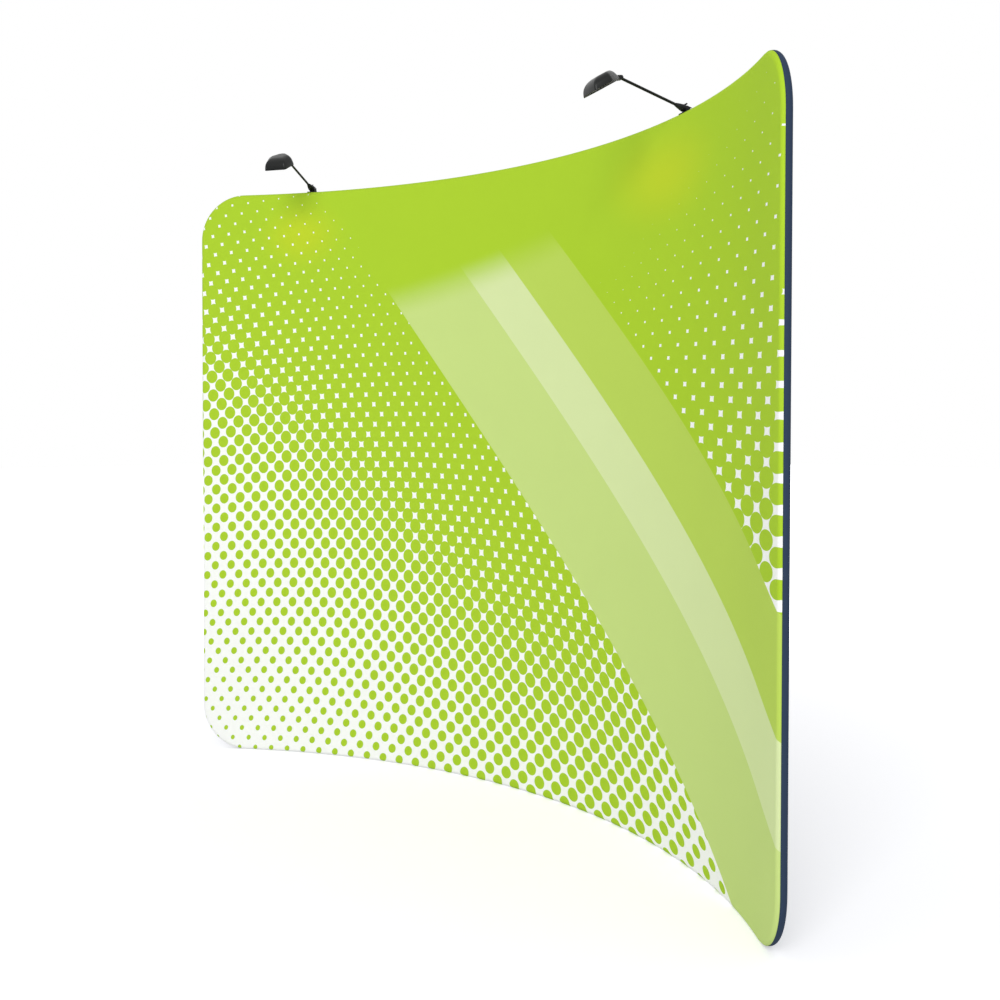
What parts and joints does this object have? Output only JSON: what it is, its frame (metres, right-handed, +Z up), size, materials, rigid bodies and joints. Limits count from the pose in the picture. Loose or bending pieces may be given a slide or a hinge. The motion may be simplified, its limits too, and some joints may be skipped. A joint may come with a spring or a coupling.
{
  "type": "curved tension fabric display wall",
  "caption": "Free-standing curved display wall of printed stretch fabric zipped over a snap-together tube frame, with clamped floodlights on its top rail.",
  "frame": {"origin": "on the floor, under the middle of the bounding box", "axes": "+X to the right seen from the printed side, along the wall's width; -Y towards the viewer of the print, so the wall bows towards +Y; +Z up"},
  "size_m": [3, 0.6242, 2.4881],
  "materials": {
    "graphic_fabric": "printed stretch polyester, matt",
    "backing_fabric": "dyed stretch polyester, matt",
    "tube_aluminium": "satin anodised",
    "spring_steel": "zinc plated",
    "nylon": "moulded nylon",
    "lamp_black": "black moulded housing, satin gloss",
    "zip": "coil zip and painted slider",
    "lens": "frosted lens"
  },
  "bodies": {
    "frame_and_cover": {"back_panel": "backing_fabric", "bottom_centre_rail": "tube_aluminium", "bottom_left_corner_spring": "spring_steel", "bottom_left_rail": "tube_aluminium", "bottom_left_splice_spring": "spring_steel", "bottom_right_corner_spring": "spring_steel", "bottom_right_rail": "tube_aluminium", "bottom_right_splice_spring": "spring_steel", "bottom_saddle": "nylon", "centre_post_spring": "spring_steel", "front_graphic_panel": "graphic_fabric", "left_lamp_arm_bolt": "spring_steel", "left_lamp_clamp": "lamp_black", "left_post_spring": "spring_steel", "lower_centre_post": "tube_aluminium", "lower_left_post": "tube_aluminium", "lower_right_post": "tube_aluminium", "right_lamp_arm_bolt": "spring_steel", "right_lamp_clamp": "lamp_black", "right_post_spring": "spring_steel", "top_centre_rail": "tube_aluminium", "top_left_corner_spring": "spring_steel", "top_left_rail": "tube_aluminium", "top_left_splice_spring": "spring_steel", "top_right_corner_spring": "spring_steel", "top_right_rail": "tube_aluminium", "top_right_splice_spring": "spring_steel", "top_saddle": "nylon", "upper_centre_post": "tube_aluminium", "upper_left_post": "tube_aluminium", "upper_right_post": "tube_aluminium", "zip_chain": "zip"},
    "top_left_corner_button": {"top_left_corner_button": "spring_steel"},
    "top_left_splice_button": {"top_left_splice_button": "spring_steel"},
    "top_right_splice_button": {"top_right_splice_button": "spring_steel"},
    "top_right_corner_button": {"top_right_corner_button": "spring_steel"},
    "bottom_left_corner_button": {"bottom_left_corner_button": "spring_steel"},
    "bottom_left_splice_button": {"bottom_left_splice_button": "spring_steel"},
    "bottom_right_splice_button": {"bottom_right_splice_button": "spring_steel"},
    "bottom_right_corner_button": {"bottom_right_corner_button": "spring_steel"},
    "left_post_button": {"left_post_button": "spring_steel"},
    "right_post_button": {"right_post_button": "spring_steel"},
    "centre_post_button": {"centre_post_button": "spring_steel"},
    "zip_slider": {"zip_slider": "zip"},
    "zip_pull": {"zip_pull": "zip"},
    "left_lamp_clamp_wheel": {"left_lamp_clamp_wheel": "nylon"},
    "left_lamp_clamp_jaw": {"left_lamp_clamp_jaw": "lamp_black"},
    "left_lamp_arm": {"left_lamp_arm_boot": "lamp_black", "left_lamp_arm_rod": "lamp_black"},
    "left_lamp_head": {"left_lamp_head_housing": "lamp_black", "left_lamp_head_bezel": "nylon", "left_lamp_head_lens": "lens"},
    "right_lamp_clamp_wheel": {"right_lamp_clamp_wheel": "nylon"},
    "right_lamp_clamp_jaw": {"right_lamp_clamp_jaw": "lamp_black"},
    "right_lamp_arm": {"right_lamp_arm_boot": "lamp_black", "right_lamp_arm_rod": "lamp_black"},
    "right_lamp_head": {"right_lamp_head_housing": "lamp_black", "right_lamp_head_bezel": "nylon", "right_lamp_head_lens": "lens"}
  },
  "joints": [
    {"name": "top_left_corner_press", "type": "slide", "parent": "frame_and_cover", "child": "top_left_corner_button", "axis": [0, 0, 1], "range_m": [0, 0.0055], "stiffness_N_per_m": 1800, "springref_m": -0.002, "deforming": ["top_left_corner_spring"]},
    {"name": "top_left_splice_press", "type": "slide", "parent": "frame_and_cover", "child": "top_left_splice_button", "axis": [0, 0, 1], "range_m": [0, 0.0055], "stiffness_N_per_m": 1800, "springref_m": -0.002, "deforming": ["top_left_splice_spring"]},
    {"name": "top_right_splice_press", "type": "slide", "parent": "frame_and_cover", "child": "top_right_splice_button", "axis": [0, 0, 1], "range_m": [0, 0.0055], "stiffness_N_per_m": 1800, "springref_m": -0.002, "deforming": ["top_right_splice_spring"]},
    {"name": "top_right_corner_press", "type": "slide", "parent": "frame_and_cover", "child": "top_right_corner_button", "axis": [0, 0, 1], "range_m": [0, 0.0055], "stiffness_N_per_m": 1800, "springref_m": -0.002, "deforming": ["top_right_corner_spring"]},
    {"name": "bottom_left_corner_press", "type": "slide", "parent": "frame_and_cover", "child": "bottom_left_corner_button", "axis": [0, 0, -1], "range_m": [0, 0.0055], "stiffness_N_per_m": 1800, "springref_m": -0.002, "deforming": ["bottom_left_corner_spring"]},
    {"name": "bottom_left_splice_press", "type": "slide", "parent": "frame_and_cover", "child": "bottom_left_splice_button", "axis": [0, 0, -1], "range_m": [0, 0.0055], "stiffness_N_per_m": 1800, "springref_m": -0.002, "deforming": ["bottom_left_splice_spring"]},
    {"name": "bottom_right_splice_press", "type": "slide", "parent": "frame_and_cover", "child": "bottom_right_splice_button", "axis": [0, 0, -1], "range_m": [0, 0.0055], "stiffness_N_per_m": 1800, "springref_m": -0.002, "deforming": ["bottom_right_splice_spring"]},
    {"name": "bottom_right_corner_press", "type": "slide", "parent": "frame_and_cover", "child": "bottom_right_corner_button", "axis": [0, 0, -1], "range_m": [0, 0.0055], "stiffness_N_per_m": 1800, "springref_m": -0.002, "deforming": ["bottom_right_corner_spring"]},
    {"name": "left_post_press", "type": "slide", "parent": "frame_and_cover", "child": "left_post_button", "axis": [-0.7793, -0.6266, 0], "range_m": [0, 0.0055], "stiffness_N_per_m": 1800, "springref_m": -0.002, "deforming": ["left_post_spring"]},
    {"name": "right_post_press", "type": "slide", "parent": "frame_and_cover", "child": "right_post_button", "axis": [0.7793, -0.6266, 0], "range_m": [0, 0.0055], "stiffness_N_per_m": 1800, "springref_m": -0.002, "deforming": ["right_post_spring"]},
    {"name": "centre_post_press", "type": "slide", "parent": "frame_and_cover", "child": "centre_post_button", "axis": [1, 0, 0], "range_m": [0, 0.0055], "stiffness_N_per_m": 1800, "springref_m": -0.002, "deforming": ["centre_post_spring"]},
    {"name": "zip_run", "type": "hinge", "parent": "frame_and_cover", "child": "zip_slider", "pos_m": [0, -1.85734, 0.045], "axis": [0, 0, 1], "range_deg": [0, 70.34]},
    {"name": "zip_pull_swing", "type": "hinge", "parent": "zip_slider", "child": "zip_pull", "pos_m": [1.25262, -0.0795, 0.045], "axis": [0.8175, -0.576, 0], "range_deg": [-8, 165]},
    {"name": "left_lamp_wheel_turn", "type": "hinge", "parent": "frame_and_cover", "child": "left_lamp_clamp_wheel", "pos_m": [-1.11459, 0.01984, 2.32981], "axis": [0, 0, 1], "range_deg": [0, 1080]},
    {"name": "left_lamp_jaw_slide", "type": "slide", "parent": "frame_and_cover", "child": "left_lamp_clamp_jaw", "axis": [0, 0, -1], "range_m": [0, 0.006]},
    {"name": "left_lamp_arm_tilt", "type": "hinge", "parent": "frame_and_cover", "child": "left_lamp_arm", "pos_m": [-1.10949, 0.01124, 2.39211], "axis": [-0.8597, -0.5108, 0], "range_deg": [-8, 65]},
    {"name": "left_lamp_head_tilt", "type": "hinge", "parent": "left_lamp_arm", "child": "left_lamp_head", "pos_m": [-0.98464, -0.19889, 2.47153], "axis": [-0.8597, -0.5108, 0], "range_deg": [-60, 40]},
    {"name": "right_lamp_wheel_turn", "type": "hinge", "parent": "frame_and_cover", "child": "right_lamp_clamp_wheel", "pos_m": [0.80103, 0.17363, 2.32981], "axis": [0, 0, 1], "range_deg": [0, 1080]},
    {"name": "right_lamp_jaw_slide", "type": "slide", "parent": "frame_and_cover", "child": "right_lamp_clamp_jaw", "axis": [0, 0, -1], "range_m": [0, 0.006]},
    {"name": "right_lamp_arm_tilt", "type": "hinge", "parent": "frame_and_cover", "child": "right_lamp_arm", "pos_m": [0.79744, 0.1643, 2.39211], "axis": [-0.9335, 0.3586, 0], "range_deg": [-8, 65]},
    {"name": "right_lamp_head_tilt", "type": "hinge", "parent": "right_lamp_arm", "child": "right_lamp_head", "pos_m": [0.70978, -0.06387, 2.47153], "axis": [-0.9335, 0.3586, 0], "range_deg": [-60, 40]}
  ],
  "couplings": [
    {"joint": "left_lamp_jaw_slide", "follows": "left_lamp_wheel_turn", "m_per_rad": 0.00031831},
    {"joint": "right_lamp_jaw_slide", "follows": "right_lamp_wheel_turn", "m_per_rad": 0.00031831}
  ]
}
